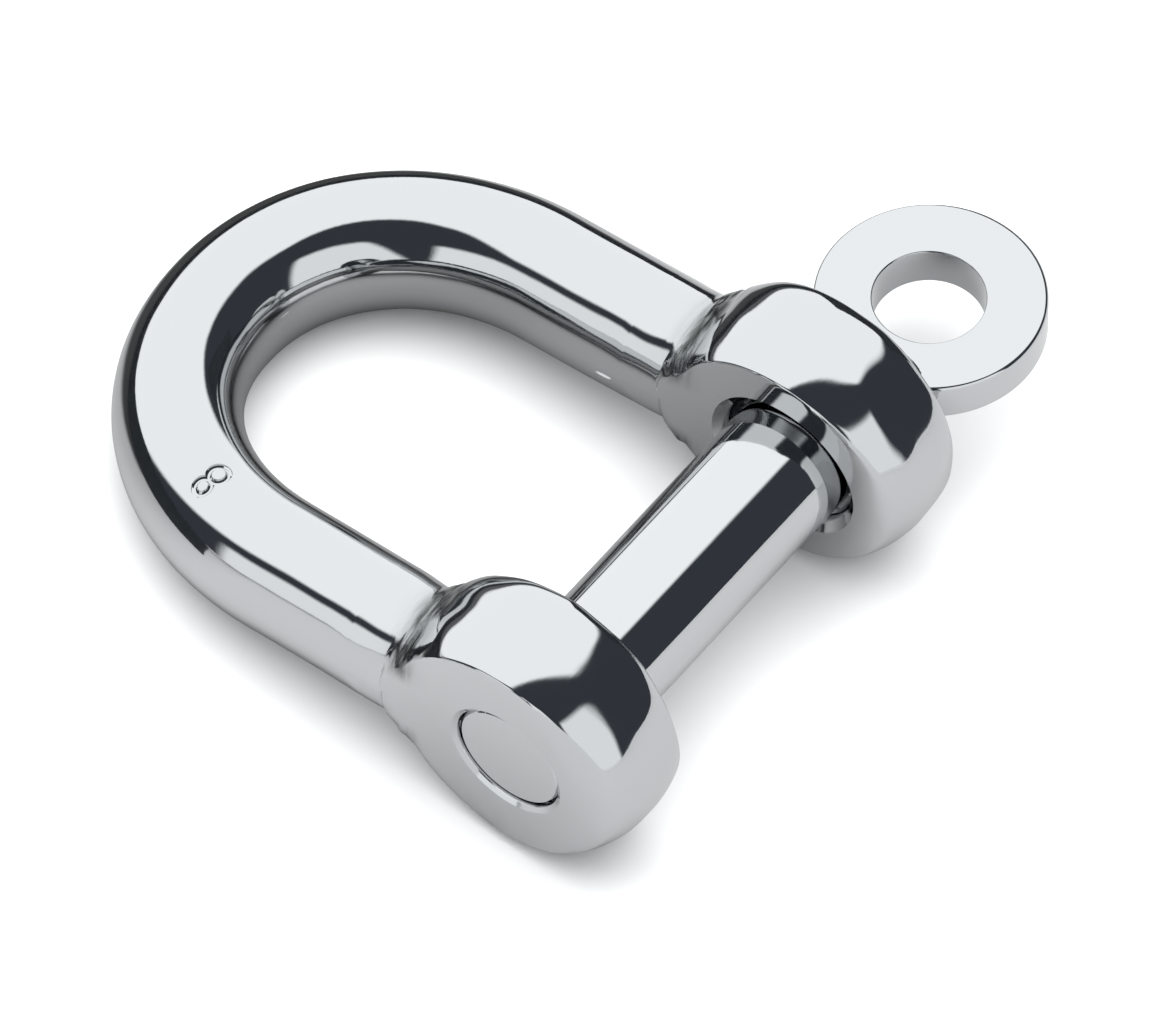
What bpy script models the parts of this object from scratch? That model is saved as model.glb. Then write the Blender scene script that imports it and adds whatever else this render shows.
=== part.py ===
"""Forged stainless D shackle with a screw pin, nominal size 8 mm.

One bent bar ends in two flattened balls, the ears. The pin has a flat eye at one end: it passes the
plain bore of the far ear, crosses the jaw and screws into the near ear. The shackle lies on its side,
the way it comes to rest on a table: on the rims of both ears and on the crown of the bow.

Frame of the forging: X along the pin towards its eye, Y from the pin towards the bow, Z square to
the plane of the bow, origin on the pin's axis midway between the ears. Lengths are in metres.
"""

import math

import bmesh
import bpy
import numpy as np
from mathutils import Matrix, Vector

MM = 0.001

# Bent bar, a little oval: narrower in the plane of the bow than square to it
BAR_WIDTH = 7.6 * MM
BAR_HEIGHT = 8.6 * MM
LEG_LENGTH = 18.3 * MM
BOW_SPACING = 25.65 * MM
BOW_DEPTH = 14.25 * MM
BOW_FULLNESS = 2.08

# Ears: balls pressed flat on both sides, whose centres lie a little beyond the pin's axis
EAR_SPACING = 25.95 * MM
EAR_DIAMETER = 16.6 * MM
EAR_FLAT_INSET = 1.02 * MM
EAR_THICKNESS = 6.9 * MM
EAR_LEAD = 0.48 * MM
EDGE_CRISP = 0.16 * MM
EDGE_WORN = 2.0 * MM
EDGE_BELOW = 0.55 * MM

# Necks between ear and leg, with a tighter fillet on top than at the sides and underneath
NECK_START = 4.4 * MM
NECK_FADE = 9.6 * MM
NECK_END = 10.9 * MM
TOP_FILLET = 2.6 * MM
SIDE_FILLET = 4.4 * MM
FILLET_START = 4.6 * MM
FILLET_FULL = 8.4 * MM

# Pin
PIN_DIAMETER = 7.85 * MM
THREAD_DIAMETER = 7.0 * MM
THREAD_RUN_OUT = 0.5 * MM
TIP_BEVEL = 0.2 * MM
TIP_RECESS = 0.3 * MM
SHOULDER_LENGTH = 2.2 * MM

# Eye of the pin, forged a little off the pin's axis
EYE_DIAMETER = 13.55 * MM
EYE_HOLE_DIAMETER = 6.6 * MM
EYE_HOLE_SHIFT = 0.15 * MM
EYE_THICKNESS = 2.75 * MM
EYE_EDGE = 0.18 * MM
EYE_OFFSET = -0.15 * MM
EYE_TURN = math.radians(2.0)

# Clearances and broken edges
PIN_CLEARANCE = 0.4 * MM
THREAD_CLEARANCE = 0.3 * MM
SEAT_GAP = 0.35 * MM
FAR_BORE_CHAMFER = 0.7 * MM
NEAR_BORE_CHAMFER = 0.3 * MM

# Facets: a section of the bar holds a multiple of eight points
SECTION_POINTS = 40
BOW_STEPS = 44
LEG_STEPS = 3
EAR_STEPS = 9
NECK_STEPS = 11
RIM_STEPS = 20
# Points follow the flat's edge, which in the neck falls along a line, and then spread out evenly again.
# On the ear the last row on the flat stands a margin inside the edge, where the rounding begins.
FLAT_MARGIN = 0.2 * MM
NECK_FLAT_RISE = 6.0 * MM
NECK_FLAT_REACH = 12.0 * MM
SPREAD_START = 5.8 * MM
SPREAD_END = 11.6 * MM
TURNED_STEPS = 48
EYE_STEPS = 64

bar_half_width = BAR_WIDTH / 2
bar_half_height = BAR_HEIGHT / 2
bow_x = BOW_SPACING / 2
ear_x = EAR_SPACING / 2
ear_radius = EAR_DIAMETER / 2
flat_radius = ear_radius - EAR_FLAT_INSET
flat_x = EAR_THICKNESS / 2
pin_radius = PIN_DIAMETER / 2
thread_radius = THREAD_DIAMETER / 2
eye_radius = EYE_DIAMETER / 2
hole_radius = EYE_HOLE_DIAMETER / 2
ear_outer_face = ear_x + flat_x
ear_inner_face = ear_x - flat_x
crown_reach = LEG_LENGTH + BOW_DEPTH
# Half length along the pin of the whole ball, from the diameter of the flats cut on it.
ball_half_length = flat_x / math.sqrt(1 - (flat_radius / ear_radius) ** 2)


def smooth(value, low, high):
    """0 below low, 1 above high, with an S curve between them."""
    share = np.clip((value - low) / (high - low), 0, 1)
    return share * share * (3 - 2 * share)


def larger(first, second, blend):
    """The larger of two radii, with a parabola over the corner where they differ by less than blend."""
    overlap = np.maximum(blend - np.abs(first - second), 0) / blend
    return np.maximum(first, second) + overlap**2 * blend / 4


def smaller(first, second, blend):
    """The smaller of two radii, with the corner between them rounded in the same way."""
    return -larger(-first, -second, blend)


def pressed(radius, half_thickness, angles, edge):
    """A section cut back to two flat sides, with a rounding at their edges."""
    sides = half_thickness / np.maximum(np.abs(np.cos(angles)), 1e-9)
    return smaller(radius, sides, edge)


def edge_rounding(turn):
    """Rounding of a flat's edge, most worn in front. Turn goes from 0 on top of the ear to pi underneath."""
    front = smooth(turn, 0.08 * math.pi, 0.35 * math.pi)
    below = smooth(turn, 0.5 * math.pi, 0.9 * math.pi)
    return EDGE_CRISP + (EDGE_WORN - EDGE_CRISP) * front + (EDGE_BELOW - EDGE_WORN) * below


def ball_section(angles, reach):
    """Radius of the ball, before it is pressed, in the plane that lies `reach` from its centre."""
    room = max(0, 1 - (reach / ear_radius) ** 2)
    return np.sqrt(room) / np.hypot(np.cos(angles) / ball_half_length, np.sin(angles) / ear_radius)


def bar_section(angles, half_width=bar_half_width):
    """Radius of the oval bar, whose half width changes to the ear's in the neck."""
    return 1 / np.hypot(np.cos(angles) / half_width, np.sin(angles) / bar_half_height)


def joined_section(angles, reach):
    """Bar and ball joined by a fillet, then pressed, so that the ear's flats run on into the neck."""
    half_width = flat_x + (bar_half_width - flat_x) * float(smooth(reach, NECK_START, NECK_END))
    fade = 1 - float(smooth(reach, NECK_FADE, NECK_END))
    on_top = np.sin(angles) > 0
    upright = np.where(on_top, np.sin(angles) ** 2, 0)
    fillet = SIDE_FILLET + (TOP_FILLET - SIDE_FILLET) * upright
    fillet = fillet * float(smooth(reach, FILLET_START, FILLET_FULL)) * fade + 1e-9
    whole = larger(bar_section(angles, half_width), ball_section(angles, reach), fillet)
    edge = np.where(on_top, EDGE_CRISP, EDGE_BELOW) * fade + 1e-9
    return pressed(whole, half_width, angles, edge)


def section_angles(reach):
    """Angles round a section. The middle point of each quarter follows the flat's edge into the neck."""
    ear_height = math.sqrt(max((flat_radius - FLAT_MARGIN) ** 2 - reach**2, 0))
    edge = math.atan2(max(ear_height, NECK_FLAT_RISE * (1 - reach / NECK_FLAT_REACH)), flat_x)
    edge = max(edge, math.pi / 4 * float(smooth(reach, SPREAD_START, SPREAD_END)))
    quarter = SECTION_POINTS // 4
    rising = np.interp(np.arange(quarter + 1), [0, quarter / 2, quarter], [0, edge, math.pi / 2])
    half = np.concatenate([rising[:-1], math.pi - rising[:0:-1]])
    return np.concatenate([half, half + math.pi])


def ring(centre, outward, angles, radius):
    """Points round a section that stands square to the plane of the bow."""
    across = np.cos(angles)[:, None] * np.array(outward) + np.sin(angles)[:, None] * np.array((0, 0, 1))
    return np.array(centre) + radius[:, None] * across


def leg_rings():
    """Sections of the far leg from the ear's centre to the bow, close together round the neck."""
    ear = flat_radius * np.sin(np.linspace(0, math.radians(81), EAR_STEPS + 1))
    neck = ear[-1] + (NECK_END - ear[-1]) * np.linspace(0, 1, NECK_STEPS + 1)[1:] ** 1.25
    leg = np.linspace(NECK_END, LEG_LENGTH, LEG_STEPS + 1)[1:]
    rings = []
    for reach in np.concatenate([ear, neck, leg]):
        x = ear_x + (bow_x - ear_x) * float(smooth(reach, NECK_START, LEG_LENGTH))
        angles = section_angles(reach)
        rings.append(ring((x, EAR_LEAD + reach, 0), (1, 0, 0), angles, joined_section(angles, reach)))
    return rings


def bow_rings():
    """Sections round the bow, a slightly squared half ellipse, from the near leg to the far one."""
    angles = section_angles(LEG_LENGTH)
    power = 2 / BOW_FULLNESS
    rings = []
    for turn in np.linspace(math.pi, 0, BOW_STEPS + 1)[1:-1]:
        side = math.copysign(abs(math.cos(turn)) ** power, math.cos(turn))
        rise = math.sin(turn) ** power
        outward = np.array((math.copysign(abs(side) ** (BOW_FULLNESS - 1), side) / bow_x, 0, 0))
        outward[1] = rise ** (BOW_FULLNESS - 1) / BOW_DEPTH
        outward /= np.linalg.norm(outward)
        centre = (bow_x * side, EAR_LEAD + LEG_LENGTH + BOW_DEPTH * rise, 0)
        rings.append(ring(centre, outward, angles, bar_section(angles)))
    return rings


def rim_rings():
    """Front of the far ear: half its middle section, turned about the pin from top to underside."""
    angles = section_angles(0)[: SECTION_POINTS // 2 + 1]
    ball = ball_section(angles, 0)
    rings = []
    for turn in np.linspace(0, math.pi, RIM_STEPS + 1):
        radius = pressed(ball, flat_x, angles, float(edge_rounding(turn)))
        away = radius * np.sin(angles)
        x = ear_x + radius * np.cos(angles)
        rings.append(np.stack([x, EAR_LEAD - away * math.sin(turn), away * math.cos(turn)], axis=-1))
    return rings


def new_object(name, bm, parent, material=None):
    """Object made of the bmesh, with its points welded and its faces turned outwards."""
    bmesh.ops.remove_doubles(bm, verts=bm.verts, dist=0.001 * MM)
    bmesh.ops.recalc_face_normals(bm, faces=bm.faces)
    mesh = bpy.data.meshes.new(name)
    bm.to_mesh(mesh)
    bm.free()
    mesh.shade_smooth()
    mesh.set_sharp_from_angle(angle=math.radians(35))
    obj = bpy.data.objects.new(name, mesh)
    bpy.context.collection.objects.link(obj)
    obj.parent = parent
    if material:
        mesh.materials.append(material)
    return obj


def skin(bm, rings, closed):
    """Quads between each ring of points and the next one."""
    rows = [[bm.verts.new(point) for point in points] for points in rings]
    for row, following in zip(rows, rows[1:]):
        for index in range(len(row) if closed else len(row) - 1):
            after = (index + 1) % len(row)
            bm.faces.new((row[index], row[after], following[after], following[index]))


def turned(name, profile, parent, steps, along=Vector((1, 0, 0)), material=None):
    """Solid of revolution: the profile gives (distance along the axis, radius) from end to end."""
    bm = bmesh.new()
    across = Vector((0, 0, 1)) if along.x else Vector((1, 0, 0))
    points = [bm.verts.new(along * place + across * radius) for place, radius in profile]
    edges = [bm.edges.new(pair) for pair in zip(points, points[1:])]
    bmesh.ops.spin(bm, geom=edges, cent=(0, 0, 0), axis=along, angle=2 * math.pi, steps=steps)
    return new_object(name, bm, parent, material)


def boolean(target, operation, tool):
    """Joins or cuts the target with the tool, which itself stays out of the model."""
    modifier = target.modifiers.new(tool.name, "BOOLEAN")
    modifier.operation = operation
    modifier.solver = "EXACT"
    modifier.object = tool
    tool.hide_render = True
    tool.display_type = "WIRE"


def empty(name, matrix, parent=None):
    obj = bpy.data.objects.new(name, None)
    bpy.context.collection.objects.link(obj)
    obj.parent = parent
    obj.matrix_local = matrix
    return obj


def steel(name, colour, roughness):
    material = bpy.data.materials.new(name)
    material.use_nodes = True
    shader = material.node_tree.nodes["Principled BSDF"]
    shader.inputs["Base Color"].default_value = (*colour, 1)
    shader.inputs["Metallic"].default_value = 1.0
    shader.inputs["Roughness"].default_value = roughness
    return material


def bore_cutter(name, low, high, radius, chamfer, parent):
    """Drill through one ear, flared at both faces."""
    over = 1.0 * MM
    mouth = radius + chamfer + over
    profile = [(low - over, 0), (low - over, mouth), (low + chamfer, radius)]
    profile += [(high - chamfer, radius), (high + over, mouth), (high + over, 0)]
    return turned(name, profile, parent, TURNED_STEPS)


def disc_profile(radius, thickness, edge):
    """Half outline of a disc whose two rims are broken by a small radius."""
    face = thickness / 2
    arc = [(edge * math.cos(a), edge * math.sin(a)) for a in np.linspace(0, math.pi / 2, 4)]
    lower = [(edge - face - back, radius - edge + out) for back, out in arc]
    upper = [(-place, away) for place, away in reversed(lower)]
    return [(-face, 0), *lower, *upper, (face, 0)]


for old in list(bpy.data.objects):
    bpy.data.objects.remove(old, do_unlink=True)

far_leg = leg_rings()
near_leg = [points * (-1, 1, 1) for points in far_leg]
bar_rings = near_leg + bow_rings() + far_leg[::-1]

# At rest the ears' rims and the crown touch the table, so the bow leans down about the pin's axis.
lean = math.asin((ear_radius - bar_half_height) / crown_reach)
crown_half_depth = math.hypot(bar_half_width * math.sin(lean), bar_half_height * math.cos(lean))
lean = math.asin((ear_radius - crown_half_depth) / crown_reach)
eye_x = ear_outer_face + SEAT_GAP + eye_radius
low_x = min(points[:, 0].min() for points in bar_rings)
high_x = eye_x + eye_radius
low_y = EAR_LEAD * math.cos(lean) - ear_radius
crown_half_length = math.hypot(bar_half_width * math.cos(lean), bar_half_height * math.sin(lean))
high_y = (EAR_LEAD + crown_reach) * math.cos(lean) + crown_half_length
pin_height = ear_radius + EAR_LEAD * math.sin(lean)
pin_place = Vector((-(low_x + high_x) / 2, -(low_y + high_y) / 2, pin_height))
forging_frame = empty("forging_frame", Matrix.Translation(pin_place) @ Matrix.Rotation(-lean, 4, "X"))

# Forged and bent bar with its two ears and their bores
forging = bmesh.new()
skin(forging, bar_rings, closed=True)
far_rim = rim_rings()
skin(forging, far_rim, closed=False)
skin(forging, [points * (-1, 1, 1) for points in far_rim], closed=False)
polished_forging = steel("polished_forging", (0.56, 0.57, 0.58), 0.1)
body = new_object("shackle_body", forging, forging_frame, polished_forging)
far_bore = bore_cutter(
    "far_bore_cutter",
    ear_inner_face,
    ear_outer_face,
    pin_radius + PIN_CLEARANCE,
    FAR_BORE_CHAMFER,
    forging_frame,
)
near_bore = bore_cutter(
    "near_bore_cutter",
    -ear_outer_face,
    -ear_inner_face,
    thread_radius + THREAD_CLEARANCE,
    NEAR_BORE_CHAMFER,
    forging_frame,
)
boolean(body, "DIFFERENCE", far_bore)
boolean(body, "DIFFERENCE", near_bore)

# Screw pin: turned shank with a reduced, threaded end and a rounded shoulder before the flat eye
pin_axis = empty("pin_axis", Matrix(), forging_frame)
tip = -ear_outer_face + TIP_RECESS
thread_end = -ear_inner_face + SEAT_GAP
shank_end = ear_outer_face + SEAT_GAP
shoulder_root = EYE_THICKNESS / 3
shoulder = [
    (shank_end + SHOULDER_LENGTH * math.sin(a), shoulder_root + (pin_radius - shoulder_root) * math.cos(a))
    for a in np.linspace(0, math.pi / 2, 7)
]
shank_profile = [
    (tip, 0),
    (tip, thread_radius - TIP_BEVEL),
    (tip + TIP_BEVEL, thread_radius),
    (thread_end, thread_radius),
    (thread_end + THREAD_RUN_OUT, pin_radius),
    *shoulder,
    (shank_end + SHOULDER_LENGTH, 0),
]
bright_pin = steel("bright_pin", (0.58, 0.59, 0.6), 0.08)
pin = turned("screw_pin", shank_profile, pin_axis, TURNED_STEPS, material=bright_pin)
eye_place = Matrix.Translation((eye_x, EYE_OFFSET, 0)) @ Matrix.Rotation(EYE_TURN, 4, "X")
eye_frame = empty("eye_frame", eye_place, pin_axis)
square_to_eye = Vector((0, 0, 1))
eye_profile = disc_profile(eye_radius, EYE_THICKNESS, EYE_EDGE)
eye_disc = turned("eye_disc_tool", eye_profile, eye_frame, EYE_STEPS, along=square_to_eye)
through = EYE_THICKNESS
hole_profile = [(-through, 0), (-through, hole_radius), (through, hole_radius), (through, 0)]
eye_hole = turned("eye_hole_cutter", hole_profile, eye_frame, EYE_STEPS, along=square_to_eye)
eye_hole.location.x = -EYE_HOLE_SHIFT
boolean(pin, "UNION", eye_disc)
boolean(pin, "DIFFERENCE", eye_hole)
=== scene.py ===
"""Looks of the polished D shackle: a forged, bent bar with two ears, closed by a screw pin with a flat eye.

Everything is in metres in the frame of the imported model: +Z up, +X along the pin towards its eye. Shapes
are first worked out in the forging's own frame, which has its origin on the pin's axis midway between the
ears and its Y axis from the pin towards the bow, and `place` then lays them on the table.
"""

import math

import bmesh
import bpy
import numpy as np
from mathutils import Matrix, Vector


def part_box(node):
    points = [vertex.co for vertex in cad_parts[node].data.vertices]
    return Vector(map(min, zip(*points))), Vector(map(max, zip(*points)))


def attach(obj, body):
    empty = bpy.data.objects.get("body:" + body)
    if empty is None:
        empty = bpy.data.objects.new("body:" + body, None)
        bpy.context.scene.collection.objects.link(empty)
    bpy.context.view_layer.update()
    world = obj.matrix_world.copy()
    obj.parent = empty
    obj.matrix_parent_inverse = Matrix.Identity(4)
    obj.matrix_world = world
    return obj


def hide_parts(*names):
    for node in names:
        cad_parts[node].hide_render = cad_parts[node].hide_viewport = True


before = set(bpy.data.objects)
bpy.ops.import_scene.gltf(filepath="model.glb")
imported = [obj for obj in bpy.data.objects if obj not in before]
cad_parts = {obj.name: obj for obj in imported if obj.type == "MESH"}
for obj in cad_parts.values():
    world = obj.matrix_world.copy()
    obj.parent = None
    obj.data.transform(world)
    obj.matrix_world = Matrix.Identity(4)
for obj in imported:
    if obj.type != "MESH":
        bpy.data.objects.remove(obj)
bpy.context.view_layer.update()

# Forging
# The body of the shackle, one bar of stainless steel: forged with a ball at each end, the balls pressed
# flat to ears, bent to a bow and polished bright. It lies on the rims of its ears and the crown of its bow.

MM = 0.001
BAR_WIDTH = 7.6 * MM
BAR_HEIGHT = 8.6 * MM
LEG_LENGTH = 18.3 * MM
BOW_SPACING = 25.65 * MM
BOW_DEPTH = 14.25 * MM
BOW_FULLNESS = 2.08
EAR_SPACING = 25.95 * MM
EAR_DIAMETER = 16.6 * MM
EAR_FLAT_INSET = 1.02 * MM
EAR_THICKNESS = 6.9 * MM
EAR_LEAD = 0.48 * MM
EYE_SIDE_INSET = 0.75 * MM
EYE_SIDE_EDGE = 0.8 * MM
EDGE_CRISP = 0.16 * MM
EDGE_WORN = 2.0 * MM
EDGE_BELOW = 0.55 * MM
FRONT_WEAR = (0.08 * math.pi, 0.35 * math.pi)
BELOW_WEAR = (0.5 * math.pi, 0.9 * math.pi)
NECK_START = 4.4 * MM
NECK_FADE = 9.6 * MM
NECK_END = 10.9 * MM
TOP_FILLET = 1.8 * MM
SIDE_FILLET = 4.4 * MM
FILLET_START = 4.6 * MM
FILLET_FULL = 8.4 * MM

# Left by the grinding and polishing wheels. Reaches and heights without a unit are in millimetres.
HOLLOW_REACH = 7.5
HOLLOW_WIDTH = 0.9
HOLLOW_HEIGHTS = (1.6, 3.4)
SWELL_HEIGHT = 0.024 * MM
RIPPLE_HEIGHT = 0.009 * MM
BAR_SHARE = 0.12
BAR_SHARE_REACHES = (7, 13)
FLAT_CALM = 0.9
FLAT_FACING = (0.9, 0.995)
FLAT_REACH = 9
FURROW_HEIGHT = 0.034 * MM
DENT_HEIGHT = 0.04 * MM

# Fineness of the mesh, and the small amounts that weld it and keep its formulas clear of 0.
QUARTER_POINTS = 46
EDGE_CROWDING = 1.6
SPREAD_START = NECK_END - 3 * MM
SPREAD_END = NECK_END + 2 * MM
FAN_POINTS = 1801
FAN_TOLERANCE = 1e-6
EAR_RINGS = 34
LAST_EAR_RING = math.radians(81)
NECK_RINGS = 44
LEG_RINGS = 14
BOW_RINGS = 118
RIM_RINGS = 76
LEAST_SINE = 1e-6
LEAST_BLEND = 1e-7
WELD_DISTANCE = 0.0005 * MM

bar_half_width = BAR_WIDTH / 2
bar_half_height = BAR_HEIGHT / 2
bow_x = BOW_SPACING / 2
ear_x = EAR_SPACING / 2
ear_radius = EAR_DIAMETER / 2
flat_radius = ear_radius - EAR_FLAT_INSET
flat_x = EAR_THICKNESS / 2
ear_outer_face = ear_x + flat_x
ear_inner_face = ear_x - flat_x
crown_reach = LEG_LENGTH + BOW_DEPTH
ball_half_length = flat_x / math.sqrt(1 - (flat_radius / ear_radius) ** 2)
eye_side_half_length = flat_x / (1 - (1 - EYE_SIDE_INSET / ear_radius) ** 2) ** 0.25

# The bow leans down from the pin until its crown touches the table. The first angle takes the crown's
# section as upright, and the second takes it as tilted by the first.
first_lean = math.asin((ear_radius - bar_half_height) / crown_reach)
crown_half_depth = math.hypot(bar_half_width * math.sin(first_lean), bar_half_height * math.cos(first_lean))
lean = math.asin((ear_radius - crown_half_depth) / crown_reach)
crown_half_length = math.hypot(bar_half_width * math.cos(lean), bar_half_height * math.sin(lean))
low_y = EAR_LEAD * math.cos(lean) - ear_radius
high_y = (EAR_LEAD + crown_reach) * math.cos(lean) + crown_half_length
body_low, body_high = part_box("shackle_body")
pin_place = Vector((
    (body_low.x + body_high.x) / 2,
    -(low_y + high_y) / 2,
    ear_radius + EAR_LEAD * math.sin(lean),
))
place = Matrix.Translation(pin_place) @ Matrix.Rotation(-lean, 4, "X")


def smooth(value, low, high):
    """0 below low, 1 above high, with an S curve 3s^2 - 2s^3 between them."""
    share = np.clip((value - low) / (high - low), 0, 1)
    return share * share * (3 - 2 * share)


def larger(first, second, blend):
    """The larger of two radii, with a parabola laid over the corner where they differ by less than blend."""
    overlap = np.maximum(blend - np.abs(first - second), 0) / blend
    return np.maximum(first, second) + overlap**2 * blend / 4


def smaller(first, second, blend):
    """The smaller of two radii, with the corner between them rounded in the same way."""
    return -larger(-first, -second, blend)


def pressed(radius, half_thickness, angles, edge):
    """A section cut back to two flat sides, with a rounding at their edges."""
    return smaller(radius, half_thickness / np.maximum(np.abs(np.cos(angles)), LEAST_SINE), edge)


def edge_rounding(turn):
    """Rounding of a flat's edge, most worn in front. Turn goes from 0 on top of the ear to pi underneath."""
    front = smooth(turn, *FRONT_WEAR)
    below = smooth(turn, *BELOW_WEAR)
    return EDGE_CRISP + (EDGE_WORN - EDGE_CRISP) * front + (EDGE_BELOW - EDGE_WORN) * below


def towards_eye(angles, facing):
    """Where a section looks towards the pin's eye; facing is 1 on the far ear and -1 on the near one, which
    is made in the far one's place and mirrored. The balls are fuller on this side, with a round shoulder."""
    return np.cos(angles) * facing > 0


def ball_section(angles, reach, facing):
    """Radius of the ball, before it is pressed, in the plane that lies `reach` from its centre. It is an
    ellipsoid, and towards the eye a fuller shape, where the distance along X counts in its fourth power."""
    room = np.maximum(0, 1 - (reach / ear_radius) ** 2)
    ellipsoid = np.sqrt(room) / np.hypot(np.cos(angles) / ball_half_length, np.sin(angles) / ear_radius)
    rise = (np.maximum(np.abs(np.sin(angles)), LEAST_SINE) / ear_radius) ** 2
    bulge = (np.cos(angles) / eye_side_half_length) ** 4
    fuller = np.sqrt(2 * room / (rise + np.sqrt(rise**2 + 4 * bulge * room)))
    return np.where(towards_eye(angles, facing), fuller, ellipsoid)


def bar_section(angles, half_width=bar_half_width):
    """Radius of the oval bar: an ellipse, whose half width changes to the ear's in the neck."""
    return 1 / np.hypot(np.cos(angles) / half_width, np.sin(angles) / bar_half_height)


def flat_side(reach):
    """Half thickness between the flats, which widens to the bar's in the neck."""
    return flat_x + (bar_half_width - flat_x) * smooth(reach, NECK_START, NECK_END)


def unpressed_section(angles, reach, facing):
    """The larger of bar and ball, with a fillet between them that is tighter on top than at the sides."""
    upright = np.where(np.sin(angles) > 0, np.sin(angles) ** 2, 0)
    fillet = SIDE_FILLET + (TOP_FILLET - SIDE_FILLET) * upright
    fillet = fillet * smooth(reach, FILLET_START, FILLET_FULL)
    fillet = fillet * (1 - smooth(reach, NECK_FADE, NECK_END)) + LEAST_BLEND
    return larger(bar_section(angles, flat_side(reach)), ball_section(angles, reach, facing), fillet)


def joined_section(angles, reach, facing):
    """Bar and ball joined by a fillet, then pressed, so that the ear's flats run on into the neck."""
    edge = np.where(np.sin(angles) > 0, EDGE_CRISP, EDGE_BELOW)
    edge = np.where(towards_eye(angles, facing), EYE_SIDE_EDGE, edge)
    edge = edge * (1 - smooth(reach, NECK_FADE, NECK_END)) + LEAST_BLEND
    return pressed(unpressed_section(angles, reach, facing), flat_side(reach), angles, edge)


def flat_edge(reach, start, facing):
    """Angle from the middle of a flat to its edge in the quarter turn that begins at start, from the share
    of a fine fan of angles in which the unpressed section stands out beyond the flats."""
    fan = start + np.linspace(0, math.pi / 2, FAN_POINTS)[None, :]
    beyond = unpressed_section(fan, reach, facing) * np.abs(np.cos(fan)) > flat_side(reach) + FAN_TOLERANCE
    return beyond.mean(axis=1, keepdims=True) * math.pi / 2


def quarter_angles(edge):
    """Angles from 0 to a quarter turn that draw together at the edge."""
    share = np.linspace(0, 1, QUARTER_POINTS // 2 + 1)[None, :]
    below = edge * (1 - (1 - share) ** EDGE_CROWDING)
    above = edge + (math.pi / 2 - edge) * share**EDGE_CROWDING
    return np.concatenate([below[:, :-1], above], axis=1)


def section_angles(reach, facing):
    """Angles round each section. The middle point of each quarter follows the edge of the flat into the
    neck, and past it the points spread evenly again."""
    spread = math.pi / 4 * smooth(reach, SPREAD_START, SPREAD_END)
    quarters = []
    for turn in (0, math.pi / 2, math.pi, 3 * math.pi / 2):
        angles = quarter_angles(np.maximum(flat_edge(reach, turn, facing), spread))
        rising = turn in (0, math.pi)
        quarters.append(turn + angles[:, :-1] if rising else turn + math.pi / 2 - angles[:, :0:-1])
    return np.concatenate(quarters, axis=1)


def leg_grid(facing):
    """Far leg: sections at rising reach from the ear's centre, whose middles move to the bow's width."""
    ear = flat_radius * np.sin(np.linspace(0, LAST_EAR_RING, EAR_RINGS))
    neck = np.linspace(ear[-1], NECK_END, NECK_RINGS + 1)[1:]
    leg = np.linspace(NECK_END, LEG_LENGTH, LEG_RINGS + 1)[1:]
    reach = np.concatenate([ear, neck, leg])[:, None]
    angles = section_angles(reach, facing)
    radius = joined_section(angles, reach, facing)
    middle = ear_x + (bow_x - ear_x) * smooth(reach, NECK_START, LEG_LENGTH)
    along = EAR_LEAD + reach + 0 * angles
    return np.stack([middle + radius * np.cos(angles), along, radius * np.sin(angles)], axis=-1)


def bow_grid():
    """Bow: the oval section carried along a superellipse, from the near leg round to the far one."""
    turn = np.linspace(math.pi, 0, BOW_RINGS + 1)[1:-1, None]
    power = 2 / BOW_FULLNESS
    side = np.sign(np.cos(turn)) * np.abs(np.cos(turn)) ** power
    rise = np.sin(turn) ** power
    out_x = np.sign(side) * np.abs(side) ** (BOW_FULLNESS - 1) / bow_x
    out_y = rise ** (BOW_FULLNESS - 1) / BOW_DEPTH
    length = np.hypot(out_x, out_y)
    angles = section_angles(LEG_LENGTH + 0 * turn, 1)
    across = bar_section(angles) * np.cos(angles)
    x = bow_x * side + across * (out_x / length)
    y = EAR_LEAD + LEG_LENGTH + BOW_DEPTH * rise + across * (out_y / length)
    return np.stack([x, y, bar_section(angles) * np.sin(angles)], axis=-1)


def rim_grid(facing):
    """Front of the far ear: half its middle section, turned about the pin from top to underside."""
    turn = np.linspace(0, math.pi, RIM_RINGS + 1)[:, None]
    angles = section_angles(np.zeros((1, 1)), facing)[:, : 2 * QUARTER_POINTS + 1]
    edge = np.maximum(edge_rounding(turn), EYE_SIDE_EDGE * towards_eye(angles, facing))
    radius = pressed(ball_section(angles, 0, facing), flat_x, angles, edge)
    away = radius * np.sin(angles)
    x = ear_x + radius * np.cos(angles) + 0 * turn
    return np.stack([x, EAR_LEAD - away * np.sin(turn), away * np.cos(turn)], axis=-1)


def grid_faces(rows, columns, start, closed):
    """Quads between the neighbouring points of a grid, counted from start; closed joins its last column to
    its first."""
    steps = columns if closed else columns - 1
    row, column = np.meshgrid(np.arange(rows - 1), np.arange(steps), indexing="ij")
    here = start + row * columns + column
    beside = start + row * columns + (column + 1) % columns
    return np.stack([here, beside, beside + columns, here + columns], axis=-1).reshape(-1, 4)


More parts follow.
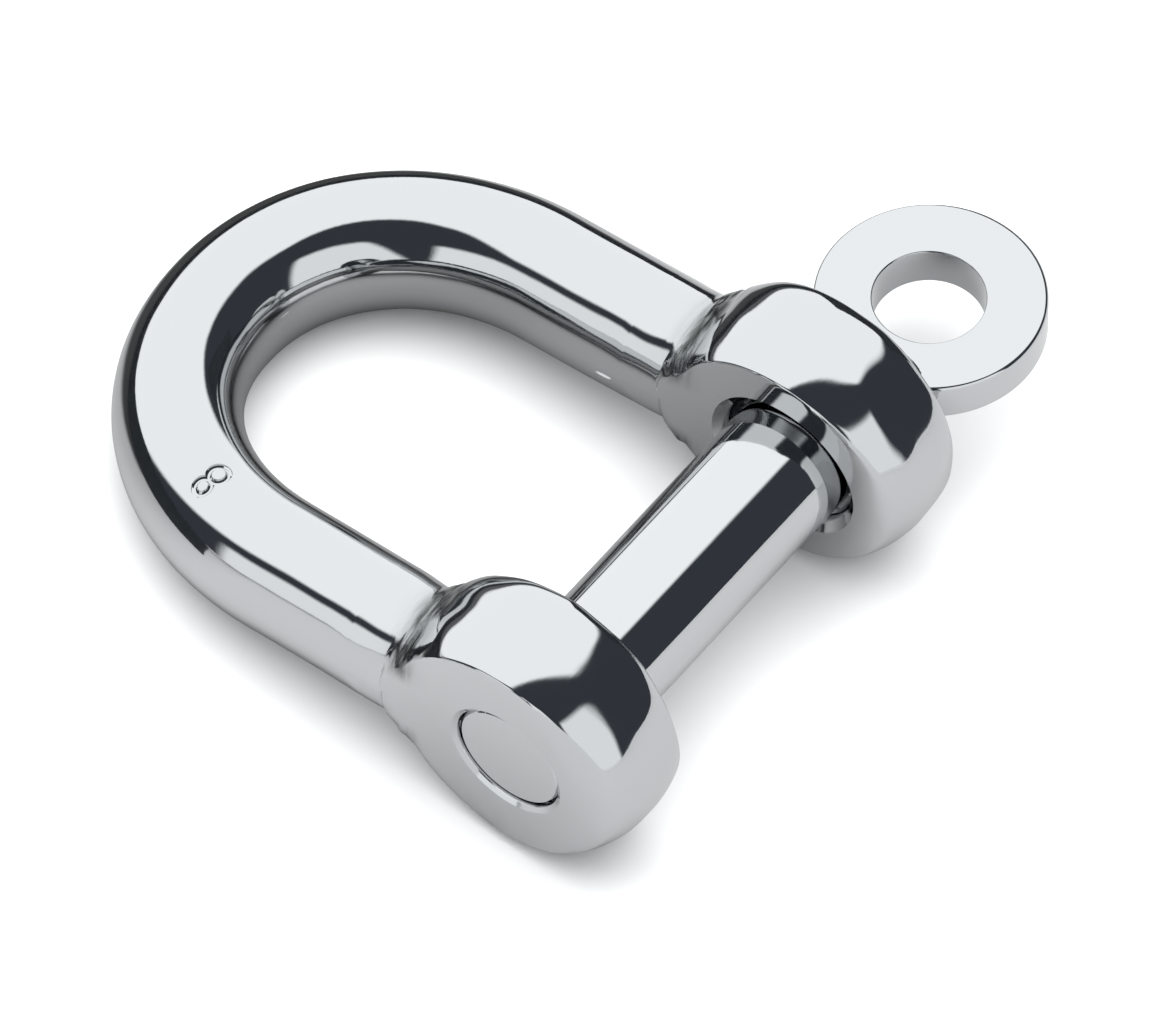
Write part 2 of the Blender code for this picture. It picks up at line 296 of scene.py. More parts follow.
def solid_of(name, grids):
    """Object of several (points, closed) grids, welded where they meet, with its faces turned outwards."""
    corners = []
    faces = []
    start = 0
    for points, closed in grids:
        corners.append(points.reshape(-1, 3))
        faces.append(grid_faces(*points.shape[:2], start, closed))
        start += len(corners[-1])
    mesh = bpy.data.meshes.new(name)
    mesh.from_pydata(np.concatenate(corners), [], np.concatenate(faces))
    bm = bmesh.new()
    bm.from_mesh(mesh)
    bmesh.ops.remove_doubles(bm, verts=bm.verts, dist=WELD_DISTANCE)
    bmesh.ops.recalc_face_normals(bm, faces=bm.faces)
    bm.to_mesh(mesh)
    bm.free()
    obj = bpy.data.objects.new(name, mesh)
    bpy.context.collection.objects.link(obj)
    return obj


def mirrored(points):
    """The same grid on the near side."""
    return points * np.array((-1, 1, 1))


def swell(x, y, z):
    """Long waves that cross each other, as a sum of three sines over x, y and z in millimetres. None of them
    runs along an axis, and no two have the same length."""
    first = np.sin(0.97 * x + 0.52 * y + 0.31 * z + 0.4)
    second = np.sin(0.44 * y - 1.03 * z + 0.38 * x + 1.9)
    return first + second + np.sin(0.71 * z - 0.62 * x + 0.85 * y + 2.7)


def polish(obj):
    """Moves each point along its normal by what forging and hand polishing left: waves of a few hundredths
    of a millimetre, fainter on the bar and on the flats than on the balls of the ears, and ground furrows
    and dents where the wheel couldn't reach, in the hollows above and below the necks."""
    mesh = obj.data
    count = len(mesh.vertices)
    points = np.empty(3 * count)
    normals = np.empty(3 * count)
    mesh.vertices.foreach_get("co", points)
    mesh.vertex_normals.foreach_get("vector", normals)
    points = points.reshape(-1, 3)
    normals = normals.reshape(-1, 3)
    x, y, z = points.T / MM
    hollow = np.exp(-(((y - HOLLOW_REACH) / HOLLOW_WIDTH) ** 2)) * smooth(np.abs(z), *HOLLOW_HEIGHTS)
    flat = smooth(np.abs(normals[:, 0]), *FLAT_FACING) * (y < FLAT_REACH)
    share = (1 - (1 - BAR_SHARE) * smooth(y, *BAR_SHARE_REACHES)) * (1 - FLAT_CALM * flat)
    waves = SWELL_HEIGHT * swell(x, y, z) + RIPPLE_HEIGHT * swell(2.3 * y, 2.1 * z, 2.2 * x)
    furrows = np.sin(5.1 * y + 0.7 * x + 1.3 * np.sin(1.7 * x))
    furrows = furrows + 0.7 * np.sin(8.3 * y - 1.9 * x + 1.1 * np.sin(2.9 * x))
    dents = np.sin(2.3 * x + 1.1 * y) * np.sin(1.9 * y + 0.6)
    height = share * waves + hollow * (FURROW_HEIGHT * furrows + DENT_HEIGHT * dents)
    mesh.vertices.foreach_set("co", (points + normals * height[:, None]).ravel())
    # The hollow mask goes to the material too: there it makes the ground finish rougher and paints shade by
    # darkening the colour in the creases.
    mesh.attributes.new("grind_and_shade", "FLOAT", "POINT").data.foreach_set("value", hollow)


bar = np.concatenate([mirrored(leg_grid(-1)), bow_grid(), leg_grid(1)[::-1]])
rims = [(mirrored(rim_grid(-1)), False), (rim_grid(1), False)]
forging = solid_of("forged_body", [(bar, True), *rims])
polish(forging)

# Bores of the ears
# The far ear has a plain drilled bore, countersunk on both faces. The near ear is tapped from inside and
# keeps a narrow lip at its outer face, where only a shallow seat is milled round the hole.

PIN_DIAMETER = 7.85 * MM
PIN_CLEARANCE = 0.4 * MM
FAR_COUNTERSINK = 0.7 * MM
NEAR_COUNTERSINK = 0.3 * MM
COUNTERSINK_EDGE = 0.12 * MM
LIP_RADIUS = 3.56 * MM
LIP_DEPTH = 0.42 * MM
LIP_EDGE = 0.02 * MM
SEAT_WIDTH = 0.3 * MM
SEAT_DEPTH = 0.2 * MM
THREAD_PITCH = 1.25 * MM
THREAD_FLANK = (0.2, 0.8)
TAPPED_RADIUS = 3.8 * MM
TAPPED_DEPTH = 0.42 * MM
STATIONS_PER_PITCH = 24
BORE_STEPS = 128
OVERCUT = 0.5 * MM

pin_radius = PIN_DIAMETER / 2


def full_turn(steps):
    """Angles of one turn in equal steps, as the row of a grid that closes on itself."""
    return np.linspace(0, 2 * math.pi, steps + 1)[None, :-1]


def revolved(stations, radius, turns):
    """Points at each station along X and each turn about it, at the given radius."""
    radius = radius + 0 * stations * turns
    return np.stack([stations + 0 * turns, radius * np.cos(turns), radius * np.sin(turns)], axis=-1)


def capped(points):
    """The grid with its first and last ring drawn together to a point in their middle."""
    ends = [np.broadcast_to(ring.mean(axis=0), ring.shape)[None] for ring in (points[0], points[-1])]
    return np.concatenate([ends[0], points, ends[1]])


def ridge(stations, turns):
    """Height of a right-handed thread, from 0 in its root to 1 on its crest."""
    phase = (stations / THREAD_PITCH - turns / (2 * math.pi)) % 1
    return smooth(np.abs(2 * phase - 1), *THREAD_FLANK)


def bore_grid(low, high, bore):
    """Wall of a bore between two faces, from its radius at each station and turn."""
    rows = int((high - low + 2 * OVERCUT) / THREAD_PITCH * STATIONS_PER_PITCH)
    stations = np.linspace(low - OVERCUT, high + OVERCUT, rows)[:, None]
    turns = full_turn(BORE_STEPS)
    return capped(revolved(stations, bore(stations, turns), turns))


def plain_bore(stations, turns):
    """Plain radius, or the larger one of the countersinks' cones at the two faces."""
    radius = pin_radius + PIN_CLEARANCE
    mouth = radius + FAR_COUNTERSINK
    radius = larger(radius + 0 * stations * turns, mouth - (stations - ear_inner_face), COUNTERSINK_EDGE)
    return larger(radius, mouth - (ear_outer_face - stations), COUNTERSINK_EDGE)


def tapped_bore(stations, turns):
    """Thread with a countersink at the inner face; a lip and a shallow seat round it at the outer face."""
    deep = stations + ear_outer_face
    radius = TAPPED_RADIUS + TAPPED_DEPTH * ridge(stations, turns)
    radius = smaller(radius, LIP_RADIUS + np.maximum(deep - LIP_DEPTH, 0), LIP_EDGE)
    radius = np.maximum(radius, LIP_RADIUS + SEAT_WIDTH * (1 - deep / SEAT_DEPTH))
    mouth = TAPPED_RADIUS + NEAR_COUNTERSINK
    return larger(radius, mouth + ear_inner_face + stations, COUNTERSINK_EDGE)


def cut(obj, tool, operation="DIFFERENCE"):
    """Cuts the tool out of the object, or joins it on, and deletes the tool."""
    modifier = obj.modifiers.new(tool.name, "BOOLEAN")
    modifier.object = tool
    modifier.operation = operation
    evaluated = obj.evaluated_get(bpy.context.evaluated_depsgraph_get())
    mesh = bpy.data.meshes.new_from_object(evaluated)
    obj.modifiers.clear()
    obj.data = mesh
    bpy.data.objects.remove(tool)


far_wall = bore_grid(ear_inner_face, ear_outer_face, plain_bore)
near_wall = bore_grid(-ear_outer_face, -ear_inner_face, tapped_bore)
cut(forging, solid_of("far_bore", [(far_wall, True)]))
cut(forging, solid_of("near_bore", [(near_wall, True)]))

# Size number
# A plain 8 stamped into the top of the bow, where it leaves the near leg: two round grooves that touch, the
# larger one towards the inside of the bow.

# Each loop's middle, counted outwards from the bar's, its half width and its half length along the bar.
NUMBER_LOOPS = ((-0.02 * MM, 0.6 * MM, 0.56 * MM), (1.1 * MM, 0.5 * MM, 0.48 * MM))
NUMBER_REACH = 23.55 * MM
GROOVE_RADIUS = 0.2 * MM
LOOP_STEPS = 56
GROOVE_STEPS = 10

number_rise = (NUMBER_REACH - EAR_LEAD - LEG_LENGTH) / BOW_DEPTH
number_side = (1 - number_rise**BOW_FULLNESS) ** (1 / BOW_FULLNESS)
number_out = Vector((
    -(number_side ** (BOW_FULLNESS - 1)) / bow_x,
    number_rise ** (BOW_FULLNESS - 1) / BOW_DEPTH,
))
number_out.normalize()


def loop_grid(middle, across, along):
    """Tube round an oval that lies on the bar's top, whose height over the bar's middle is an ellipse."""
    turn = np.linspace(0, 2 * math.pi, LOOP_STEPS + 1)[:, None]
    bend = full_turn(GROOVE_STEPS)
    away = GROOVE_RADIUS * np.cos(bend)
    outward = middle + (across + away) * np.cos(turn)
    onward = (along + away) * np.sin(turn)
    surface = bar_half_height * np.sqrt(1 - (outward / bar_half_width) ** 2)
    x = -bow_x * number_side + outward * number_out.x - onward * number_out.y
    y = NUMBER_REACH + outward * number_out.y + onward * number_out.x
    return np.stack([x, y, surface + GROOVE_RADIUS * np.sin(bend)], axis=-1)


for loop in NUMBER_LOOPS:
    cut(forging, solid_of("number_groove", [(loop_grid(*loop), True)]))

# Finish of the forging
# Stainless steel with a mirror polish. The wheel left fine scratches that run every way, and it didn't reach
# into the hollows of the necks, which are still ground: dull and coarser. Their creases are darkened in
# colour as painted shade.

SHARP_ANGLE = math.radians(28)
FORGING_COLOUR = (0.56, 0.57, 0.58)
FORGING_ROUGHNESS = 0.045
SMEAR_LEVELS = (0.35, 0.75)
SMEAR_GAIN = 1.8
RIPPLE_BUMP = 0.004 * MM
SCRATCH_BUMP = 0.0006 * MM
GROUND_BUMP = 0.05 * MM
GROUND_ROUGHNESS = 0.18
# Streaks and colour of the painted shade in the creases of the necks.
STREAK_LEVELS = (0.4, 0.6)
LEAST_STREAK = 0.4
CREASE_SHADE_COLOUR = (0.05, 0.06, 0.055)


def settle(obj):
    """Lays the finished piece on the table and shades it smooth between its sharp edges."""
    obj.data.transform(place)
    obj.data.shade_smooth()
    obj.data.set_sharp_from_angle(angle=SHARP_ANGLE)


def steel(name, colour, roughness):
    """Polished stainless steel: a mirror with faint smears in its gloss, ripples and two layers of fine
    scratches; in the ground hollows rougher, with coarse scratches, and darkened in streaks as painted
    shade."""
    material = bpy.data.materials.new(name)
    material.use_nodes = True
    nodes = material.node_tree.nodes
    links = material.node_tree.links
    shader = nodes["Principled BSDF"]
    shader.inputs["Base Color"].default_value = (*colour, 1)
    shader.inputs["Metallic"].default_value = 1.0
    coordinates = nodes.new("ShaderNodeTexCoord").outputs["Object"]
    mark = nodes.new("ShaderNodeAttribute")
    mark.attribute_name = "grind_and_shade"
    grind_and_shade = mark.outputs["Fac"]

    def noise(scale, stretch, turn, detail):
        mapping = nodes.new("ShaderNodeMapping")
        mapping.inputs["Scale"].default_value = stretch
        mapping.inputs["Rotation"].default_value = turn
        texture = nodes.new("ShaderNodeTexNoise")
        texture.inputs["Scale"].default_value = scale
        texture.inputs["Detail"].default_value = detail
        links.new(coordinates, mapping.inputs["Vector"])
        links.new(mapping.outputs["Vector"], texture.inputs["Vector"])
        return texture.outputs["Fac"]

    def ranged(value, levels, least, most):
        node = nodes.new("ShaderNodeMapRange")
        node.inputs["From Min"].default_value = levels[0]
        node.inputs["From Max"].default_value = levels[1]
        node.inputs["To Min"].default_value = least
        node.inputs["To Max"].default_value = most
        links.new(value, node.inputs["Value"])
        return node.outputs["Result"]

    def where_grind_and_shade(value):
        node = nodes.new("ShaderNodeMath")
        node.operation = "MULTIPLY"
        links.new(value, node.inputs[0])
        links.new(grind_and_shade, node.inputs[1])
        return node.outputs["Value"]

    def bump(height, depth, below=None):
        node = nodes.new("ShaderNodeBump")
        node.inputs["Strength"].default_value = 1.0
        node.inputs["Distance"].default_value = depth
        links.new(height, node.inputs["Height"])
        if below:
            links.new(below, node.inputs["Normal"])
        return node.outputs["Normal"]

    smears = noise(scale=260, stretch=(1, 1, 1), turn=(0.3, 0.5, 0.1), detail=4)
    rough = nodes.new("ShaderNodeMath")
    rough.operation = "MULTIPLY_ADD"
    rough.inputs[1].default_value = GROUND_ROUGHNESS
    links.new(grind_and_shade, rough.inputs[0])
    links.new(ranged(smears, SMEAR_LEVELS, roughness, SMEAR_GAIN * roughness), rough.inputs[2])
    links.new(rough.outputs["Value"], shader.inputs["Roughness"])

    ripples = noise(scale=420, stretch=(1, 1, 1), turn=(0.2, 0.1, 0.7), detail=1)
    scratches = noise(scale=900, stretch=(0.15, 6, 6), turn=(0.4, 0.9, 0.2), detail=2)
    crossing = noise(scale=900, stretch=(6, 0.15, 6), turn=(0.7, 0.1, 0.5), detail=2)
    coarse = noise(scale=900, stretch=(0.6, 4, 1), turn=(0, 0, 0), detail=3)
    normal = bump(ripples, RIPPLE_BUMP)
    normal = bump(scratches, SCRATCH_BUMP, normal)
    normal = bump(crossing, SCRATCH_BUMP, normal)
    normal = bump(where_grind_and_shade(coarse), GROUND_BUMP, normal)
    links.new(normal, shader.inputs["Normal"])

    # Painted shade: within the ground hollows of the necks the colour darkens in streaks.
    streaks = noise(scale=700, stretch=(0.5, 3, 0.5), turn=(0.1, 0, 0.3), detail=3)
    crease_shade = where_grind_and_shade(ranged(streaks, STREAK_LEVELS, LEAST_STREAK, 1))
    tint = nodes.new("ShaderNodeMix")
    tint.data_type = "RGBA"
    tint.inputs["A"].default_value = (*colour, 1)
    tint.inputs["B"].default_value = (*CREASE_SHADE_COLOUR, 1)
    links.new(crease_shade, tint.inputs["Factor"])
    links.new(tint.outputs["Result"], shader.inputs["Base Color"])
    return material


settle(forging)
forging.data.materials.clear()
forging.data.materials.append(steel("polished_forging", FORGING_COLOUR, FORGING_ROUGHNESS))
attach(forging, "shackle")
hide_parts("shackle_body")

# Screw pin
# One forging of stainless steel: a turned and polished shank with a threaded end, which a rounded shoulder
# joins to a flat round eye. It screws into the near ear until its shoulder meets the far one.

PIN_COLOUR = (0.58, 0.59, 0.6)
PIN_ROUGHNESS = 0.04
TIP_RECESS = 0.3 * MM
TIP_FACE_RADIUS = 3.32 * MM
TIP_EDGE = 0.1 * MM
CREST_RADIUS = 3.68 * MM
THREAD_DEPTH = 0.5 * MM
GROOVE_RUN_IN = THREAD_PITCH / 2
GROOVE_FADE = THREAD_PITCH
GROOVE_END = 0.3 * THREAD_PITCH
THREAD_RUN_OUT = 0.4 * MM
SEAT_GAP = 0.35 * MM
EYE_DIAMETER = 13.55 * MM
EYE_THICKNESS = 2.75 * MM
EYE_OFFSET = -0.15 * MM
EYE_TURN = math.radians(2.0)
SHOULDER_LENGTH = 2.6 * MM
SHOULDER_FILLET = 1.4 * MM
SHOULDER_ROOT = 2.9 * MM
SLAB_INSET = 0.15 * MM
SLAB_COVER = 0.03 * MM
PIN_TURNS = 160
SHANK_RINGS = 30
SHOULDER_RINGS = 60

eye_radius = EYE_DIAMETER / 2
eye_x = ear_outer_face + SEAT_GAP + eye_radius
tip = -ear_outer_face + TIP_RECESS
thread_end = -ear_inner_face + SEAT_GAP
shank_end = ear_outer_face + SEAT_GAP


def threaded_end(turns):
    """Thread cut into the pin's end: its crest less the groove, which starts and runs out within a turn."""
    rows = int((thread_end - tip) / THREAD_PITCH * STATIONS_PER_PITCH)
    stations = np.linspace(tip, thread_end, rows)[:, None]
    groove = (1 - ridge(stations, turns)) * smooth(stations, tip, tip + GROOVE_RUN_IN)
    groove = groove * (1 - smooth(stations, thread_end - GROOVE_FADE, thread_end - GROOVE_END))
    crest = smaller(CREST_RADIUS - THREAD_DEPTH * groove, TIP_FACE_RADIUS + stations - tip, TIP_EDGE)
    return revolved(stations, crest, turns)


def shoulder(turns):
    """Shoulder: a quarter ellipse that meets a slab just inside the eye's rim and under its faces, with a
    fillet between them."""
    stations = np.linspace(shank_end, shank_end + SHOULDER_ROOT, SHOULDER_RINGS)[:, None]
    dome = pin_radius * np.sqrt(np.maximum(1 - ((stations - shank_end) / SHOULDER_LENGTH) ** 2, 0))
    width = np.sqrt(np.maximum(eye_radius**2 - (stations - eye_x) ** 2, 0)) - SLAB_INSET
    height = EYE_THICKNESS / 2 - SLAB_COVER
    around = turns - EYE_TURN
    sides = np.maximum(width, 0) / np.maximum(np.abs(np.cos(around)), LEAST_SINE)
    slab = np.minimum(sides, height / np.maximum(np.abs(np.sin(around)), LEAST_SINE))
    return revolved(stations, larger(dome, slab, SHOULDER_FILLET), turns)


around_pin = full_turn(PIN_TURNS)
shank_stations = np.linspace(thread_end + THREAD_RUN_OUT, shank_end, SHANK_RINGS)[:-1, None]
shank = revolved(shank_stations, pin_radius, around_pin)
pin_wall = np.concatenate([threaded_end(around_pin), shank, shoulder(around_pin)])
pin = solid_of("screw_pin_body", [(capped(pin_wall), True)])

# Eye of the pin
# A flat forged disc with a drilled hole a little nearer to the shank, its rims broken by a small radius.
# It is one piece with the pin, and the two are joined here.

EYE_HOLE_DIAMETER = 6.6 * MM
EYE_HOLE_SHIFT = 0.15 * MM
RIM_EDGE = 0.28 * MM
HOLE_EDGE = 0.12 * MM
EYE_STEPS = 200
EDGE_STEPS = 8

hole_radius = EYE_HOLE_DIAMETER / 2


def broken_rim(radius, edge, side):
    """Distances from the middle, and heights, down a round wall with both rims rounded; side is 1 for an
    outer wall and -1 for a hole's."""
    bend = np.linspace(0, math.pi / 2, EDGE_STEPS)
    away = radius - side * edge * (1 - np.sin(bend))
    height = EYE_THICKNESS / 2 - edge * (1 - np.cos(bend))
    return np.concatenate([away, away[::-1]]), np.concatenate([height, -height[::-1]])


def eye_grid():
    """Closed ring: down the outer wall and up the hole's, whose middle lies nearer to the shank."""
    rim_away, rim_height = broken_rim(eye_radius, RIM_EDGE, 1)
    hole_away, hole_height = broken_rim(hole_radius, HOLE_EDGE, -1)
    away = np.concatenate([rim_away, hole_away[::-1], rim_away[:1]])[:, None]
    height = np.concatenate([rim_height, hole_height[::-1], rim_height[:1]])[:, None]
    middle = np.concatenate([0 * rim_away, 0 * hole_away - EYE_HOLE_SHIFT, (0,)])[:, None]
    turns = full_turn(EYE_STEPS)
    return np.stack([middle + away * np.cos(turns), away * np.sin(turns), height + 0 * turns], axis=-1)


eye = solid_of("eye", [(eye_grid(), True)])
eye.data.transform(Matrix.Translation((eye_x, EYE_OFFSET, 0)) @ Matrix.Rotation(EYE_TURN, 4, "X"))
cut(pin, eye, "UNION")
settle(pin)
pin.data.materials.clear()
pin.data.materials.append(steel("bright_pin", PIN_COLOUR, PIN_ROUGHNESS))
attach(pin, "pin")
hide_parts("screw_pin")

# Studio
# A white table in a dark room, with a large softbox that leans over it from behind and two cards in front.
# A black card, a black flag and a sheet graded from grey to black stand and lie round the shackle for the
# steel only: they draw the dark lines along its far edges. The sheet's grades are painted light and shade, a
# painted pool of light in front and a painted shadow of the shackle inside the bow.

ROOM_COLOUR = (0.05, 0.058, 0.07)
SOFTBOX_CORNERS = ((354, -6), (298, 36), (278, 66), (150, 65), (98, 30), (70, -13))
SOFTBOX_COLOUR = (1.4, 1.43, 1.44)
SOFTBOX_FADE = 0.1
FRONT_CARD_CORNERS = ((224, 42), (175, 45), (170, -8), (250, -7))
FRONT_CARD_COLOUR = (1.15, 1.18, 1.19)
LEFT_CARD_CORNERS = ((307, 19), (262, 30), (251, -8), (301, -6))
LEFT_CARD_COLOUR = (1.18, 1.21, 1.22)
CARD_FADE = 0.1
MATT_ROUGHNESS = 0.8
TABLE_REACH = 3
TABLE_WHITE = 0.8
TABLE_LAMP_PLACE = (-0.05, -0.08, 0.7)
TABLE_LAMP_POWER = 9.0
TABLE_LAMP_SIZE = 1.0
BLACK_CARD_AZIMUTHS = (298, 325, 350, 400, 425, 450)
BLACK_CARD_DISTANCES = (50 * MM, 50 * MM, 56 * MM, 56 * MM, 56 * MM, 56 * MM)
BLACK_CARD_HEIGHTS = (8 * MM, 12 * MM, 6.4 * MM, 6.4 * MM, 9 * MM, 13 * MM)
CARD_BLACK = (0.016, 0.02, 0.025)
CARD_POINTS = 25
FLAG_AZIMUTHS = (74, 118)
FLAG_FULL_AZIMUTH = 84
FLAG_LOW = 11 * MM
FLAG_HIGH = 35 * MM
SHEET_AZIMUTH = 20
SHEET_START = 21 * MM
SHEET_END = 27 * MM
SHEET_RADIUS = 0.5
SHEET_LIFT = 0.05 * MM
SHEET_FIRST_RING = 0.5 * MM
SHEET_RING_STEP = 1 * MM
SHEET_TURN_STEP = 3
# Greys of the sheet's painted light and shade: a lit pool in front, darker behind and in the bow's shadow.
FRONT_GREY = 0.47
BACK_GREY = 0.3
INSIDE_GREY = 0.26
CROWN_GREY = 0.15
SHEET_BLACK = 0.02
BOW_BORDER = (0.9, 1.1)
PIN_BORDER = (-2 * MM, 2 * MM)


def direction(azimuth, elevation):
    """Unit vector towards an azimuth, counted from +Y towards +X, and an elevation, in degrees."""
    azimuth, elevation = math.radians(azimuth), math.radians(elevation)
    level = math.cos(elevation)
    return Vector((math.sin(azimuth) * level, math.cos(azimuth) * level, math.sin(elevation)))


world = bpy.data.worlds.new("studio")
world.use_nodes = True
world_nodes = world.node_tree.nodes
world_links = world.node_tree.links
outward = world_nodes.new("ShaderNodeTexCoord").outputs["Generated"]


def lit(below, corners, colour, fade):
    """Adds a card that is seen between the given corner directions. Each of its sides is a plane through the
    shackle, and its light fades over the distance `fade` from that plane."""
    directions = [direction(*corner) for corner in corners]
    middle = sum(directions, Vector())
    cover = None
    for first, second in zip(directions, directions[1:] + directions[:1]):
        normal = first.cross(second).normalized()
        distance = world_nodes.new("ShaderNodeVectorMath")
        distance.operation = "DOT_PRODUCT"
        distance.inputs[1].default_value = normal if normal.dot(middle) > 0 else -normal
        world_links.new(outward, distance.inputs[0])
        step = world_nodes.new("ShaderNodeMapRange")
        step.interpolation_type = "SMOOTHSTEP"
        step.inputs["From Min"].default_value = -fade / 2
        step.inputs["From Max"].default_value = fade / 2
        world_links.new(distance.outputs["Value"], step.inputs["Value"])
        if cover is None:
            cover = step.outputs["Result"]
            continue
        both = world_nodes.new("ShaderNodeMath")
        both.operation = "MULTIPLY"
        world_links.new(cover, both.inputs[0])
        world_links.new(step.outputs["Result"], both.inputs[1])
        cover = both.outputs["Value"]
    mix = world_nodes.new("ShaderNodeMix")
    mix.data_type = "RGBA"
    mix.inputs["B"].default_value = (*colour, 1)
    world_links.new(cover, mix.inputs["Factor"])
    world_links.new(below, mix.inputs["A"])
    return mix.outputs["Result"]


room = world_nodes.new("ShaderNodeRGB")
room.outputs["Color"].default_value = (*ROOM_COLOUR, 1)
light = lit(room.outputs["Color"], SOFTBOX_CORNERS, SOFTBOX_COLOUR, SOFTBOX_FADE)
light = lit(light, FRONT_CARD_CORNERS, FRONT_CARD_COLOUR, CARD_FADE)
light = lit(light, LEFT_CARD_CORNERS, LEFT_CARD_COLOUR, CARD_FADE)
world_links.new(light, world_nodes["Background"].inputs["Color"])
bpy.context.scene.world = world


def staged(name, points, faces, colour):
    """Matt surface of the studio, which is no part of the shackle."""
    mesh = bpy.data.meshes.new(name)
    mesh.from_pydata(points, [], faces)
    paint = bpy.data.materials.new(name)
    paint.use_nodes = True
    paint.node_tree.nodes["Principled BSDF"].inputs["Base Color"].default_value = (*colour, 1)
    paint.node_tree.nodes["Principled BSDF"].inputs["Roughness"].default_value = MATT_ROUGHNESS
    mesh.materials.append(paint)
    obj = bpy.data.objects.new(name, mesh)
    bpy.context.collection.objects.link(obj)
    return obj


def for_steel_only(card):
    """Only mirrors see the card: it neither hides the table nor darkens it."""
    card.visible_camera = False
    card.visible_diffuse = False
    card.visible_shadow = False


table_signs = ((-1, -1), (1, -1), (1, 1), (-1, 1))
table_corners = [(x * TABLE_REACH, y * TABLE_REACH, 0) for x, y in table_signs]
staged("table", table_corners, [(0, 1, 2, 3)], (TABLE_WHITE,) * 3)


def bent_card(name, azimuths, distances, lows, highs):
    """Black card that stands bent round the shackle, between two heights at each azimuth."""
    feet = [away * direction(azimuth, 0) for azimuth, away in zip(azimuths, distances)]
    low = [point + Vector((0, 0, height)) for point, height in zip(feet, lows)]
    high = [point + Vector((0, 0, height)) for point, height in zip(feet, highs)]
    count = len(feet)
    quads = [(i, i + 1, i + count + 1, i + count) for i in range(count - 1)]
    for_steel_only(staged(name, low + high, quads, CARD_BLACK))


card_azimuths = np.linspace(BLACK_CARD_AZIMUTHS[0], BLACK_CARD_AZIMUTHS[-1], CARD_POINTS)
card_distances = np.interp(card_azimuths, BLACK_CARD_AZIMUTHS, BLACK_CARD_DISTANCES)
card_heights = np.interp(card_azimuths, BLACK_CARD_AZIMUTHS, BLACK_CARD_HEIGHTS)
bent_card("black_card", card_azimuths, card_distances, 0 * card_heights, card_heights)

outer_distance = max(BLACK_CARD_DISTANCES)

flag_azimuths = np.linspace(*FLAG_AZIMUTHS, CARD_POINTS)
flag_distances = np.full(CARD_POINTS, outer_distance)
flag_lows = np.full(CARD_POINTS, FLAG_LOW)
flag_highs = np.interp(flag_azimuths, (FLAG_AZIMUTHS[0], FLAG_FULL_AZIMUTH), (FLAG_LOW, FLAG_HIGH))
bent_card("black_flag", flag_azimuths, flag_distances, flag_lows, flag_highs)

# Painted light and shade: the sheet's grey falls off from the front to the back as a painted pool of light,
# and ends in black behind the bow. Within the bow's outline it is a darker grey that doesn't reach black, a
# painted shadow of the shackle.
sheet_turns = np.radians(np.arange(0, 360, SHEET_TURN_STEP))[None, :]
sheet_rings = np.append(np.arange(SHEET_FIRST_RING, outer_distance, SHEET_RING_STEP), SHEET_RADIUS)[:, None]
sheet_x = sheet_rings * np.sin(sheet_turns)
sheet_y = sheet_rings * np.cos(sheet_turns)
beside = (sheet_x - pin_place.x) / (bow_x + bar_half_width)
beyond = np.maximum(sheet_y - pin_place.y - LEG_LENGTH, 0) / (BOW_DEPTH + bar_half_width)
past_bow = smooth(np.hypot(beside, beyond), *BOW_BORDER)
past_pin = 1 - smooth(sheet_y - pin_place.y, *PIN_BORDER)
outside = np.maximum(past_bow, past_pin)
backward = direction(SHEET_AZIMUTH, 0)
deep = sheet_x * backward.x + sheet_y * backward.y
open_grey = FRONT_GREY + (BACK_GREY - FRONT_GREY) * smooth(deep, 0, SHEET_START)
outside_grey = open_grey + (SHEET_BLACK - open_grey) * smooth(deep, SHEET_START, SHEET_END)
inside_grey = INSIDE_GREY + (CROWN_GREY - INSIDE_GREY) * smooth(deep, 0, SHEET_START)
shade = inside_grey + outside * (outside_grey - inside_grey)
sheet_points = np.stack([sheet_x, sheet_y, SHEET_LIFT + 0 * sheet_x], axis=-1).reshape(-1, 3)
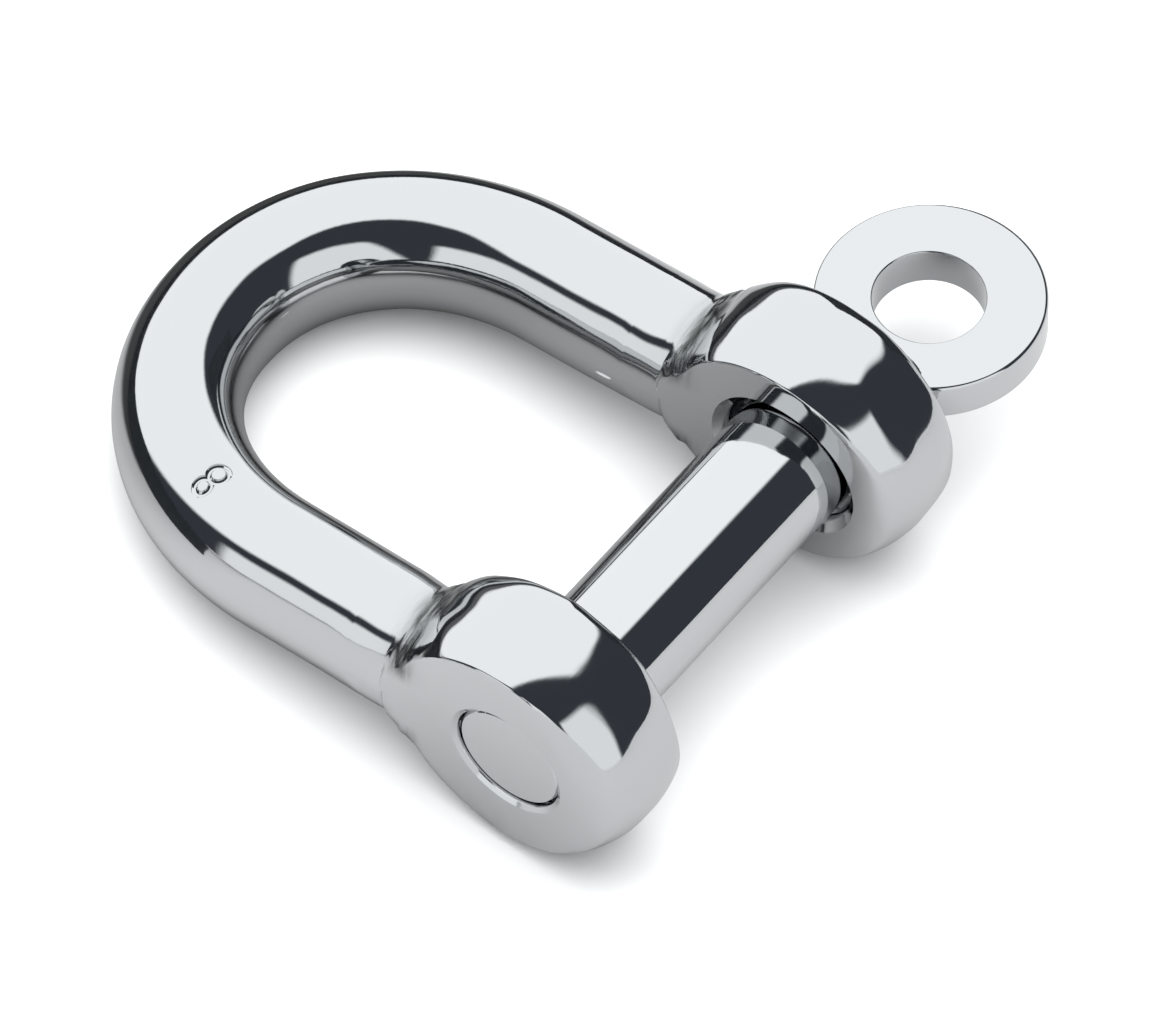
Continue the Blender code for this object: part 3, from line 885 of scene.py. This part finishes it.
sheet_faces = grid_faces(*sheet_x.shape, 0, True)
sheet = staged("graded_sheet", sheet_points.tolist(), sheet_faces.tolist(), (FRONT_GREY,) * 3)
sheet.data.attributes.new("shade", "FLOAT", "POINT").data.foreach_set("value", shade.ravel())
for_steel_only(sheet)
sheet_paint = sheet.data.materials[0].node_tree
grade = sheet_paint.nodes.new("ShaderNodeAttribute")
grade.attribute_name = "shade"
sheet_paint.links.new(grade.outputs["Fac"], sheet_paint.nodes["Principled BSDF"].inputs["Base Color"])

lamp = bpy.data.lights.new("table_lamp", "AREA")
lamp.shape = "DISK"
lamp.size = TABLE_LAMP_SIZE
lamp.energy = TABLE_LAMP_POWER
lamp_stand = bpy.data.objects.new("table_lamp", lamp)
lamp_stand.location = TABLE_LAMP_PLACE
lamp_stand.visible_glossy = False
bpy.context.collection.objects.link(lamp_stand)

# Camera
# Where the photograph was taken from: steeply above the near ear, from far away with a long lens.

VIEW_DISTANCE = 0.77716
VIEW_AIM = Vector((-0.007605, -0.008167, 0.010166))
VIEW_AZIMUTH = math.radians(-57.424)
VIEW_ELEVATION = math.radians(56.047)
VIEW_ROLL = math.radians(5.741)
VIEW_LENS = 419.84
VIEW_CLIP_END = 20

back = Vector((
    math.sin(VIEW_AZIMUTH) * math.cos(VIEW_ELEVATION),
    -math.cos(VIEW_AZIMUTH) * math.cos(VIEW_ELEVATION),
    math.sin(VIEW_ELEVATION),
))
right = Vector((math.cos(VIEW_AZIMUTH), math.sin(VIEW_AZIMUTH), 0))
view_axes = Matrix((right, back.cross(right), back)).transposed().to_4x4()
lens = bpy.data.cameras.new("camera")
lens.lens = VIEW_LENS
lens.clip_end = VIEW_CLIP_END
camera = bpy.data.objects.new("camera", lens)
bpy.context.collection.objects.link(camera)
rolled = view_axes @ Matrix.Rotation(VIEW_ROLL, 4, "Z")
camera.matrix_world = Matrix.Translation(VIEW_AIM + VIEW_DISTANCE * back) @ rolled
bpy.context.scene.camera = camera

bpy.context.scene.view_settings.view_transform = "Standard"
